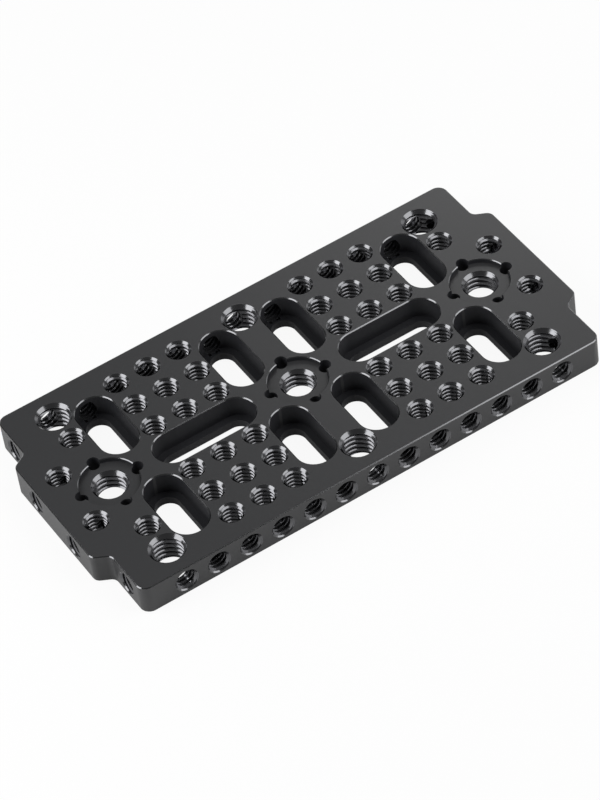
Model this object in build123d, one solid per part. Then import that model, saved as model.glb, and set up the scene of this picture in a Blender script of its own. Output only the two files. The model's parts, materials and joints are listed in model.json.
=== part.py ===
from build123d import *
import os

# Mounting plate for camera accessories: one slab of aluminium with tapped holes on a square
# grid, stepped slots for screw heads, and round recesses with locating pin holes. The origin
# is at the middle of the underside, X runs along the slab and Z points up out of the face
# with the wide mouths of the slots. All sizes are in millimetres.

# Slab
thickness = 9.0
grid_pitch = 9.5  # spacing of the hole grid, the same along X and Y
side_margin = 8.5  # axis of the outer hole row to the long side
tab_margin = 7.5  # axis of the outermost holes to the end face of the tab
shoulder_margin = 12.6  # axis of the outermost large holes to the end face of the corner
tab_tip_width = 39.0  # where the sloping flanks of the tab meet its end face
flank_width = 2.5  # how far each flank spreads outwards from there to the corner end face
corner_radius = 2.8
flank_radius = 2.2  # both ends of each sloping flank
edge_chamfer = 0.25

# Tapped holes, drilled at the minor diameter of their threads
small_bore = 5.2
small_rim = 7.0  # widest diameter of the countersink, whose side slopes one to one
large_bore = 8.0
large_rim = 9.9
side_bore = 5.0  # holes in the long sides and in the ends
side_depth = 10.0  # far enough to open into the outer end of each cross slot

# Locating recesses, in pairs opposite each other in both faces
recess_diameter = 16.0
recess_depth = 1.3
recess_chamfer = 0.2
pin_bore = 3.3
pin_circle_diameter = 16.6

# Stepped slots
slot_land = 0.3  # metal left between the edge of a slot and the rim of the next hole
slot_overreach = 0.3  # how far a cross slot passes the axis of the outer hole row
slot_setback = 0.1  # inner end of a cross slot, past the edge line of the long slots
long_slot_length = 30.2
ledge_depth = 6.4  # below the top face, for the head of a screw
screw_slot_width = 6.8

# Where things stand, counted in grid steps from the middle
group_columns, group_rows = (2, 3, 4), (1, 2, 3)
lone_small = ((6, 2), (7, 1))
large_columns, large_row = (0, 6), 3
recess_columns = (0, 6)
cross_slot_columns = (1, 5)
long_slot_column = 3
side_columns = range(-6, 7)
tab_row, corner_row = 1, 3

# Worked out from the sizes above
outer_row = max(group_rows)
half_width = outer_row * grid_pitch + side_margin
half_length = max(column for column, row in lone_small) * grid_pitch + tab_margin
half_shoulder = max(large_columns) * grid_pitch + shoulder_margin
slot_width = 2 * (grid_pitch - small_rim / 2 - slot_land)
slot_inner_end = slot_width / 2 + slot_setback
slot_outer_end = outer_row * grid_pitch + slot_overreach
ledge_width = (slot_width - 2 * edge_chamfer - screw_slot_width) / 2
ledge_level = thickness - ledge_depth
recess_floor = thickness - recess_depth
overrun = 0.5  # how far each cutter stands out of the surface that it enters


def four_ways(columns, rows):
    """Grid points for these columns and rows, mirrored about both middle lines."""
    points = {(sx * c, sy * r) for c in columns for r in rows for sx in (-1, 1) for sy in (-1, 1)}
    return [(x * grid_pitch, y * grid_pitch) for x, y in sorted(points)]


def turned(*profile):
    """Solid of revolution about Z from (radius, height) points."""
    return revolve(Plane.XZ * make_face(Polyline(*profile, close=True)), Axis.Z)


def through_hole(bore, rim, top=thickness):
    """Cutter for a bore right through the slab, countersunk at the level given."""
    low, high, r, wide = -overrun, top + overrun, bore / 2, rim / 2
    return turned((0, low), (r, low), (r, top - wide + r), (wide, top), (wide, high), (0, high))


def outline():
    """The slab seen from above: a wide tab at each end, with sloping flanks."""
    tip = tab_tip_width / 2
    root = tip + flank_width
    quarter = [(half_length, tip), (half_shoulder, root), (half_shoulder, half_width)]
    upper = quarter + [(-x, y) for x, y in reversed(quarter)]
    lower = [(x, -y) for x, y in reversed(upper)]
    slab = Sketch() + make_face(Polyline(*upper, *lower, close=True))
    # The four corners of the slab lie further out than both ends of every flank.
    slab = fillet(slab.vertices().sort_by(lambda v: abs(v.Y))[:-4], flank_radius)
    return fillet(slab.vertices().sort_by(lambda v: abs(v.Y))[-4:], corner_radius)


def stepped_slot(length):
    """Cutter for a slot along X: wide above the ledge, as wide as a screw below it."""
    wide, long = slot_width - 2 * edge_chamfer, length - 2 * edge_chamfer
    head = extrude(SlotOverall(long, wide), ledge_depth + overrun)
    shank = extrude(SlotOverall(long - 2 * ledge_width, screw_slot_width), ledge_level + 2 * overrun)
    return Pos(Z=ledge_level) * head + Pos(Z=-overrun) * shank


def level_edges(slab, layer):
    """Edges that lie level in one layer: 0 is the lowest, -1 the highest."""
    return slab.edges().filter_by(Plane.XY).group_by(Axis.Z)[layer]


def slotted_slab():
    """The slab with its slots, and with the edges of both faces chamfered."""
    middle = (slot_outer_end + slot_inner_end) / 2
    cross = Rot(Z=90) * stepped_slot(slot_outer_end - slot_inner_end)
    along = stepped_slot(long_slot_length)
    columns = [s * c * grid_pitch for c in cross_slot_columns for s in (-1, 1)]
    cutters = [Pos(x, s * middle) * cross for x in columns for s in (-1, 1)]
    cutters += [Pos(s * long_slot_column * grid_pitch) * along for s in (-1, 1)]
    slab = extrude(outline(), thickness)
    slab = chamfer(level_edges(slab, 0), edge_chamfer) - cutters
    return chamfer(level_edges(slab, -1), edge_chamfer)


def locating_recess():
    """Cutter for a shallow round recess in each face, a threaded hole and four pin holes."""
    r, mouth, top = recess_diameter / 2, recess_diameter / 2 + recess_chamfer, thickness + overrun
    wall = [(r, recess_floor), (r, thickness - recess_chamfer)]
    cup = turned((0, recess_floor), *wall, (mouth, thickness), (mouth, top), (0, top))
    cups = [cup, Pos(Z=thickness) * Rot(X=180) * cup]
    pin = Pos(Z=thickness / 2) * Cylinder(pin_bore / 2, thickness + 2 * overrun)
    pins = [place * pin for place in PolarLocations(pin_circle_diameter / 2, 4)]
    return through_hole(large_bore, large_rim, recess_floor) + cups + pins


def vertical_cutters():
    """Every hole that enters through the top face."""
    small = four_ways(group_columns, group_rows)
    small += [p for column, row in lone_small for p in four_ways((column,), (row,))]
    hole = through_hole(small_bore, small_rim)
    large = through_hole(large_bore, large_rim)
    recess = locating_recess()
    cutters = [Pos(x, y) * hole for x, y in small]
    cutters += [Pos(x, y) * large for x, y in four_ways(large_columns, (large_row,))]
    return cutters + [Pos(x, y) * recess for x, y in four_ways(recess_columns, (0,))]


def side_cutters():
    """The rows of holes in the long sides, and the holes in the tabs and the corner ends."""
    hole = Pos(Z=(overrun - side_depth) / 2) * Cylinder(side_bore / 2, side_depth + overrun)
    faces, middle = [], thickness / 2
    for s in (-1, 1):
        faces += [((c * grid_pitch, s * half_width, middle), (0, s, 0)) for c in side_columns]
        for row, end in ((tab_row, half_length), (corner_row, half_shoulder)):
            faces += [((s * end, t * row * grid_pitch, middle), (s, 0, 0)) for t in (-1, 1)]
    return [Plane(origin, z_dir=out).location * hole for origin, out in faces]


plate = slotted_slab() - (vertical_cutters() + side_cutters())
plate.label = "plate"

os.makedirs("parts", exist_ok=True)
export_step(plate, "parts/plate.step")
print("plate", round(plate.volume), "mm3, box", plate.bounding_box().size)
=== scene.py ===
import json
import math

import bmesh
import bpy
from mathutils import Euler, Matrix, Vector


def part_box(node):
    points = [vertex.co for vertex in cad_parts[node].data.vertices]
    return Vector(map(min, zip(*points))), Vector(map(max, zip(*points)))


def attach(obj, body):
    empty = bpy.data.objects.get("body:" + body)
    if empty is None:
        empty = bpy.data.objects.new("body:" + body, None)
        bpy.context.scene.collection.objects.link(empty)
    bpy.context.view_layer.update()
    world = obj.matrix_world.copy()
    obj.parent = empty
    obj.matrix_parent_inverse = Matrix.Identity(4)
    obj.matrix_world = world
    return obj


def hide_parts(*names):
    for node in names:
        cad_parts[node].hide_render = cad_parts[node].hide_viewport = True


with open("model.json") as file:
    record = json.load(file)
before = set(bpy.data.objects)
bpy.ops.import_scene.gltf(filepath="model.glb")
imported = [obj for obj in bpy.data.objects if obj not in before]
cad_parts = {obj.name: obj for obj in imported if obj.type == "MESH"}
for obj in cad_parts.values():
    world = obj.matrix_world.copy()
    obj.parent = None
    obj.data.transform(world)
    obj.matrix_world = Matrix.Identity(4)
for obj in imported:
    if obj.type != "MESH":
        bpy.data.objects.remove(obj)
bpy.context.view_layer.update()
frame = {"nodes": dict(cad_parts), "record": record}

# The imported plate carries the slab, its slots, its recesses and plain bores. This script cuts
# what is finer than that into a copy of it: the threads, and the rims and bevels that the bores
# and slots lack. Lengths in this block are in millimetres.
MM = 0.001
SMALL_THREAD = {"major": 6.35, "pitch": 1.27, "sides": 24}
LARGE_THREAD = {"major": 9.52, "pitch": 1.5875, "sides": 30}
FLANK_ANGLE = 30  # degrees between a flank and a plane across the axis
ROOT_SHARE = 0.125  # width of the flat root, in pitches
LARGE_BORE = 7.0  # bores wider than this take the large thread and rim
BORE_ALLOWANCE = 0.08  # by which the crest of a thread is wider than the facets of its bore
MOUTH_SPARE = 1.4  # how far the threads of upright holes are run on above their mouths
SIDE_THREAD_DEPTH = 9.82  # a little less than the bore, and past the ends of the slots
END_THREAD_DEPTH = 7.28  # short of the large holes that the corner ones open into
SMALL_RIM, LARGE_RIM = 7.0, 9.9  # widest diameters of the countersinks
SIDE_RIM = 6.7  # of the holes in the long sides and in the ends
RIM_SPARE = 0.5  # width of flat metal that is sure to be found round each rim
SLOT_WIDTH = 6.8  # below the ledge
SLOT_SPARE = 3.8  # by which a slot is longer than the opening stated for it
SLOT_CHAMFER = 0.25
OVERRUN = 0.4  # how far a cutter stands out of the face that it enters
GRAIN_HEIGHT = 0.02
FLOOR_GAP = 0.05  # between the plate and the floor

# In metres
LEDGE_BAND = 0.002  # a level face further than this from the top and the underside is a ledge
RAY_START = 0.00001  # how far off a face a ray starts that looks for metal facing it
RAY_DROP = 1.0  # how far below a hole a ray starts that looks for the underside
WELD_DISTANCE = 0.0000001
FLOOR_SIZE = 3.0
CAMERA_RANGE = (0.01, 20.0)  # nearest and furthest that it sees

# The camera, in millimetres and as directions
CAMERA_PLACE = (-303.45, -620.35, 719.68)
CAMERA_RIGHT = (0.83686, -0.53626, -0.10994)
CAMERA_UP = (0.45508, 0.56992, 0.68418)
CAMERA_LENS = 173.0

# Directions
ALIGNED = 0.5  # a unit axis runs along X, Y or Z where that part of it is larger than this
STEEP, LEVEL = 0.3, 0.95  # a face is a bevel where the upright part of its normal is in between
SHARP_ANGLE = 20  # degrees between two faces, above which their edge is left sharp

# Looks
WHITE = (1.0, 1.0, 1.0, 1.0)
# The finish for inner walls and ledges is darkened with painted shade.
FINISHES = ("satin", "edge", "thread", "shaded_wall")
SATIN, EDGE, THREAD, SHADED_WALL = range(4)
GRAIN_SCALE = 2500.0  # in noise cells to the metre
GRAIN_DETAIL = 4.0
ROUGHNESS_SPREAD = 0.05  # to each side of a finish's roughness
FLOOR_COLOUR = (0.86, 0.86, 0.86, 1.0)
FLOOR_ROUGHNESS = 0.9
SURROUND_STRENGTH = 0.1


def tapped_holes():
    """Every tapped hole that the record states, as (place, axis, bore) in metres."""
    found = {}
    for mount in frame["record"]["mounts"]:
        dims, centre, axis = mount["dims"], Vector(mount["pos_m"]), Vector(mount["axis"])
        bore = 2 * dims.get("hole_r_mm", dims.get("r_mm", 0)) * MM
        # Flat faces have no radius, and the plain pin holes stand on a circle.
        if not bore or "pcd_mm" in dims:
            continue
        first, second = [row for row in Matrix.Identity(3) if abs(row.dot(axis)) < ALIGNED]
        along = dims.get("spacing_x_mm", 0) / 2 * MM * first
        across = dims.get("spacing_y_mm", 0) / 2 * MM * second
        for s in (-1, 1):
            for t in (-1, 1):
                place = centre + s * along + t * across
                found[tuple(round(v, 5) for v in (*place, *axis))] = (place, axis, bore)
    return list(found.values())


def add_faces(bm, placing, corners, faces, slot):
    """Adds faces, given as runs of indices into a list of corners, in millimetres."""
    points = [bm.verts.new(placing @ (Vector(corner) * MM)) for corner in corners]
    for face in faces:
        bm.faces.new([points[i] for i in face]).material_index = slot


def add_thread(bm, placing, crest, major, pitch, sides, low, high):
    """Adds a closed right-handed screw form about Z, from low to high or a little past it."""
    flank = (major - crest) / 2 * math.tan(math.radians(FLANK_ANGLE))
    root = pitch * ROOT_SHARE
    offsets = (0, pitch - 2 * flank - root, pitch - flank - root, pitch - flank)
    profile = list(zip(offsets, (crest / 2, crest / 2, major / 2, major / 2)))
    steps = len(profile)
    last = steps * math.ceil((high - low) / pitch)
    corners, faces = [], []
    for row in range(last + 1):
        offset, radius = profile[row % steps]
        for side in range(sides):
            angle = math.tau * side / sides
            height = low + offset + (row // steps + side / sides) * pitch
            corners.append((radius * math.cos(angle), radius * math.sin(angle), height))
    foot, head = len(corners), len(corners) + 1
    corners += [(0, 0, low), (0, 0, corners[last * sides][2] + pitch)]

    def at(row, side):
        """Index of a corner; past the last side it is the first one, a full turn higher."""
        return (row + steps * (side // sides)) * sides + side % sides

    for side in range(sides):
        rows = last - steps if side == sides - 1 else last
        for row in range(rows):
            faces.append((at(row, side), at(row, side + 1), at(row + 1, side + 1), at(row + 1, side)))
        faces.append((foot, at(0, side + 1), at(0, side)))
        faces.append((head, at(rows, side), at(rows, side + 1)))
    for row in range(steps):
        faces.append((foot, at(row, 0), at(row + 1, 0)))
        faces.append((head, at(last - row, sides - 1), at(last - row - 1, sides - 1)))
    add_faces(bm, placing, corners, faces, THREAD)


def is_large(bore):
    """Whether a bore given in metres takes the large thread and rim."""
    return bore > LARGE_BORE * MM


def rim_of(bore):
    """Widest diameter of the countersink of an upright bore given in metres."""
    return LARGE_RIM if is_large(bore) else SMALL_RIM


def add_rim(bm, placing, rim, sides=42):
    """Adds a cone whose point lies down the bore and whose side is the rim's bevel."""
    wide = rim / 2 + OVERRUN
    turns = [math.tau * i / sides for i in range(sides)]
    corners = [(wide * math.cos(turn), wide * math.sin(turn), OVERRUN) for turn in turns]
    corners.append((0, 0, OVERRUN - wide))
    faces = [(sides, (i + 1) % sides, i) for i in range(sides)]
    add_faces(bm, placing, corners, [*faces, tuple(range(sides))], EDGE)


def stadium(length, width, height, steps=16):
    """Corners of a level loop with two straight sides and round ends."""
    corners = []
    for end in (1, -1):
        for i in range(steps + 1):
            angle = math.pi * (i / steps - 0.5)
            x, y = width / 2 * math.cos(angle), width / 2 * math.sin(angle)
            corners.append((end * ((length - width) / 2 + x), end * y, height))
    return corners


def add_slot_rim(bm, placing, length):
    """Adds a tapered plug that bevels the mouth of a slot in the underside."""
    spread, past = 2 * (SLOT_CHAMFER + OVERRUN), SLOT_CHAMFER + OVERRUN / 2
    low = stadium(length + spread, SLOT_WIDTH + spread, -OVERRUN)
    high = stadium(length - OVERRUN, SLOT_WIDTH - OVERRUN, past)
    count = len(low)
    faces = [(i, (i + 1) % count, count + (i + 1) % count, count + i) for i in range(count)]
    faces += [tuple(reversed(range(count))), tuple(range(count, 2 * count))]
    add_faces(bm, placing, low + high, faces, EDGE)


def placed(place, axis):
    """The matrix that puts the origin at a place and turns Z to an axis."""
    return Matrix.Translation(place) @ axis.to_track_quat("Z", "Y").to_matrix().to_4x4()


def finished_mesh(name, bm):
    """A mesh made of a bmesh, which it frees, with every finish in its slots."""
    mesh = bpy.data.meshes.new(name)
    bm.to_mesh(mesh)
    bm.free()
    for key in FINISHES:
        mesh.materials.append(bpy.data.materials[key])
    return mesh


def shown(name, data):
    """An object in the scene that holds a mesh, a lamp or a camera."""
    holder = bpy.data.objects.new(name, data)
    bpy.context.scene.collection.objects.link(holder)
    return holder


def cut(piece, name, fill):
    """Takes a closed form away from the piece, made by a function that is handed a bmesh."""
    bm = bmesh.new()
    fill(bm)
    cutting = shown(name, finished_mesh(name, bm))
    modifier = piece.modifiers.new(name, "BOOLEAN")
    modifier.operation, modifier.solver = "DIFFERENCE", "MANIFOLD"
    modifier.object = cutting
    evaluated = piece.evaluated_get(bpy.context.evaluated_depsgraph_get())
    mesh = bpy.data.meshes.new_from_object(evaluated)
    piece.modifiers.clear()
    piece.data = mesh
    bpy.data.objects.remove(cutting)


def fill_threads(chosen, low, high):
    """A filler for the threads of these holes, from low to high along each axis."""
    def fill(bm):
        for place, axis, bore in chosen:
            thread = LARGE_THREAD if is_large(bore) else SMALL_THREAD
            add_thread(bm, placed(place, axis), bore / MM + BORE_ALLOWANCE, low=low, high=high, **thread)
    return fill


def finish_of(face, low, high):
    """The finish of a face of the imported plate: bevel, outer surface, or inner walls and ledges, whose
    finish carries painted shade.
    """
    centre, normal = face.calc_center_median(), face.normal
    if STEEP < abs(normal.z) < LEVEL:
        return EDGE
    if normal.z > LEVEL:
        return SHADED_WALL if low.z + LEDGE_BAND < centre.z < high.z - LEDGE_BAND else SATIN
    facing = frame["nodes"]["plate"].ray_cast(centre + normal * RAY_START, normal)[0]
    return SHADED_WALL if facing else SATIN


def plate_copy():
    """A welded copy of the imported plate, with its faces sorted by finish."""
    bm = bmesh.new()
    bm.from_mesh(frame["nodes"]["plate"].data)
    bmesh.ops.remove_doubles(bm, verts=bm.verts, dist=WELD_DISTANCE)
    low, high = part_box("plate")
    for face in bm.faces:
        face.material_index = finish_of(face, low, high)
    mesh = finished_mesh("machined_plate", bm)
    mesh.attributes.remove(mesh.attributes["custom_normal"])
    return shown("machined_plate", mesh)


def lower_mouth(place, bore):
    """Middle of the lower mouth of an upright hole, which may lie in a recess."""
    beside = (rim_of(bore) / 2 + RIM_SPARE) * MM
    below = Vector((place.x + beside, place.y, place.z - RAY_DROP))
    point = frame["nodes"]["plate"].ray_cast(below, (0, 0, 1))[1]
    return Vector((place.x, place.y, point.z))


def machined_plate():
    """The whole plate, with threads and rims in every hole."""
    piece = plate_copy()
    low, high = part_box("plate")
    thick = (high.z - low.z) / MM
    holes = tapped_holes()
    upright = [hole for hole in holes if hole[1].z > ALIGNED]
    across = [hole for hole in holes if abs(hole[1].y) > ALIGNED]
    endways = [hole for hole in holes if abs(hole[1].x) > ALIGNED]
    cut(piece, "upright_threads", fill_threads(upright, -thick, MOUTH_SPARE))
    cut(piece, "side_threads", fill_threads(across, -SIDE_THREAD_DEPTH, OVERRUN))
    cut(piece, "end_threads", fill_threads(endways, -END_THREAD_DEPTH, OVERRUN))
    openings = frame["record"]["physics"]["openings"]
    slots = [opening["box_m"] for opening in openings if opening["name"].startswith("slot")]

    def fill_rims(bm):
        for hole in across + endways:
            add_rim(bm, placed(*hole[:2]), SIDE_RIM)
        for place, axis, bore in upright:
            add_rim(bm, placed(lower_mouth(place, bore), -axis), rim_of(bore))
        for corner, opposite in slots:
            middle = (Vector(corner) + Vector(opposite)) / 2
            size = Vector(opposite) - Vector(corner)
            turn = Matrix.Rotation(math.radians(0 if size.x > size.y else 90), 4, "Z")
            placing = Matrix.Translation((middle.x, middle.y, low.z)) @ turn
            add_slot_rim(bm, placing, max(size.x, size.y) / MM + SLOT_SPARE)

    cut(piece, "rims", fill_rims)
    return piece


def smooth(piece):
    """Smooth shading between facets of one surface, with every machined edge left sharp."""
    piece.data.polygons.foreach_set("use_smooth", [True] * len(piece.data.polygons))
    piece.data.set_sharp_from_angle(angle=math.radians(SHARP_ANGLE))
    weights = piece.modifiers.new("weights", "WEIGHTED_NORMAL")
    weights.mode, weights.keep_sharp = "FACE_AREA", True


def anodised(name, colour, roughness, grain, metallic=0.0, specular=0.5):
    """Black anodised aluminium: a dark dyed oxide layer with a fine blasted grain. The colour and specular
    given for the inner walls are lowered further as painted shade.
    """
    material = bpy.data.materials.new(name)
    material.use_nodes = True
    nodes, links = material.node_tree.nodes, material.node_tree.links
    shader = nodes["Principled BSDF"]
    shader.inputs["Base Color"].default_value = (*colour, 1.0)
    shader.inputs["Metallic"].default_value = metallic
    shader.inputs["Specular IOR Level"].default_value = specular
    place = nodes.new("ShaderNodeTexCoord")
    fine = nodes.new("ShaderNodeTexNoise")
    fine.inputs["Scale"].default_value = GRAIN_SCALE
    fine.inputs["Detail"].default_value = GRAIN_DETAIL
    links.new(place.outputs["Object"], fine.inputs["Vector"])
    bump = nodes.new("ShaderNodeBump")
    bump.inputs["Strength"].default_value = grain
    bump.inputs["Distance"].default_value = GRAIN_HEIGHT * MM
    links.new(fine.outputs["Fac"], bump.inputs["Height"])
    links.new(bump.outputs["Normal"], shader.inputs["Normal"])
    spread = nodes.new("ShaderNodeMapRange")
    spread.inputs["To Min"].default_value = roughness - ROUGHNESS_SPREAD
    spread.inputs["To Max"].default_value = roughness + ROUGHNESS_SPREAD
    links.new(fine.outputs["Fac"], spread.inputs["Value"])
    links.new(spread.outputs["Result"], shader.inputs["Roughness"])


def white_backing(tree, shader, kind, seen, mirrored):
    """Mixes plain white into a shader, by one share for what is seen and one for reflections.

    The kind is the type of node that gives the white, which differs for the world.
    """
    nodes, links = tree.nodes, tree.links
    rays = nodes.new("ShaderNodeLightPath")
    total = None
    for ray, share in (("Camera", seen), ("Glossy", mirrored), ("Transmission", seen)):
        part = nodes.new("ShaderNodeMath")
        part.operation = "MULTIPLY_ADD"
        part.inputs[1].default_value = share
        part.inputs[2].default_value = 0.0
        links.new(rays.outputs[f"Is {ray} Ray"], part.inputs[0])
        if total:
            links.new(total.outputs[0], part.inputs[2])
        total = part
    white = nodes.new(kind)
    white.inputs["Color"].default_value = WHITE
    mixed = nodes.new("ShaderNodeMixShader")
    links.new(total.outputs[0], mixed.inputs["Fac"])
    links.new(shader.outputs[0], mixed.inputs[1])
    links.new(white.outputs[0], mixed.inputs[2])
    return mixed


def floor():
    """A plain pale floor that keeps the plate's shadow."""
    bm = bmesh.new()
    bmesh.ops.create_grid(bm, x_segments=1, y_segments=1, size=FLOOR_SIZE)
    mesh = bpy.data.meshes.new("floor")
    bm.to_mesh(mesh)
    bm.free()
    ground = shown("floor", mesh)
    ground.location.z = -FLOOR_GAP * MM
    material = bpy.data.materials.new("pale_floor")
    material.use_nodes = True
    tree = material.node_tree
    shader = tree.nodes["Principled BSDF"]
    shader.inputs["Base Color"].default_value = FLOOR_COLOUR
    shader.inputs["Roughness"].default_value = FLOOR_ROUGHNESS
    mixed = white_backing(tree, shader, "ShaderNodeEmission", seen=0.92, mirrored=0.2)
    tree.links.new(mixed.outputs[0], tree.nodes["Material Output"].inputs["Surface"])
    mesh.materials.append(material)


def softbox(name, bearing, elevation, roll, distance, size, power):
    """A rectangular lamp turned to face the plate, in degrees, metres and watts.

    Its bearing is measured from +X, and its size is its width and its height.
    """
    lamp = bpy.data.lights.new(name, "AREA")
    lamp.shape, lamp.energy = "RECTANGLE", power
    lamp.size, lamp.size_y = size
    facing = Euler((math.radians(90 - elevation), 0, math.radians(90 + bearing))).to_matrix()
    turn = facing @ Matrix.Rotation(math.radians(roll), 3, "Z")
    place = Matrix.Translation(turn @ Vector((0, 0, distance)))
    shown(name, lamp).matrix_world = place @ turn.to_4x4()


def lighting():
    """Soft boxes at the front right and at the left, two weak fills and a dim surround."""
    softbox("front_right", bearing=-40, elevation=37.5, roll=-9, distance=0.668, size=(0.51, 0.92), power=4.2)
    softbox("left", bearing=164.5, elevation=33.5, roll=36, distance=0.445, size=(0.30, 0.44), power=1.75)
    softbox("back_right", bearing=52, elevation=30, roll=0, distance=0.6, size=(0.25, 0.25), power=0.5)
    softbox("low_right", bearing=3, elevation=10, roll=0, distance=0.6, size=(0.50, 0.16), power=0.25)
    world = bpy.data.worlds.new("surround")
    bpy.context.scene.world = world
    world.use_nodes = True
    tree = world.node_tree
    dim = tree.nodes["Background"]
    dim.inputs["Color"].default_value = WHITE
    dim.inputs["Strength"].default_value = SURROUND_STRENGTH
    mixed = white_backing(tree, dim, "ShaderNodeBackground", seen=1.0, mirrored=0.05)
    tree.links.new(mixed.outputs[0], tree.nodes["World Output"].inputs["Surface"])


def camera():
    """The photograph's view: a long lens, held with a slight roll."""
    lens = bpy.data.cameras.new("camera")
    lens.lens = CAMERA_LENS
    lens.clip_start, lens.clip_end = CAMERA_RANGE
    right, up = Vector(CAMERA_RIGHT), Vector(CAMERA_UP)
    turn = Matrix((right, up, right.cross(up))).transposed()
    holder = shown("camera", lens)
    holder.matrix_world = Matrix.Translation(Vector(CAMERA_PLACE) * MM) @ turn.to_4x4()
    bpy.context.scene.camera = holder


anodised("satin", colour=(0.030, 0.0304, 0.032), roughness=0.36, grain=0.25)
# Inner walls and ledges: their colour and specular, lower than the satin top's, are painted shade in the
# slots and hollows.
anodised("shaded_wall", colour=(0.020, 0.0205, 0.0235), roughness=0.5, grain=0.1, specular=0.3)
anodised("edge", colour=(0.145, 0.146, 0.152), roughness=0.18, grain=0.05, metallic=1.0)
anodised("thread", colour=(0.155, 0.156, 0.165), roughness=0.18, grain=0.05, metallic=0.8)
plate = machined_plate()
smooth(plate)
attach(plate, "root")
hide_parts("plate")
floor()
lighting()
camera()
bpy.context.scene.view_settings.view_transform = "Standard"
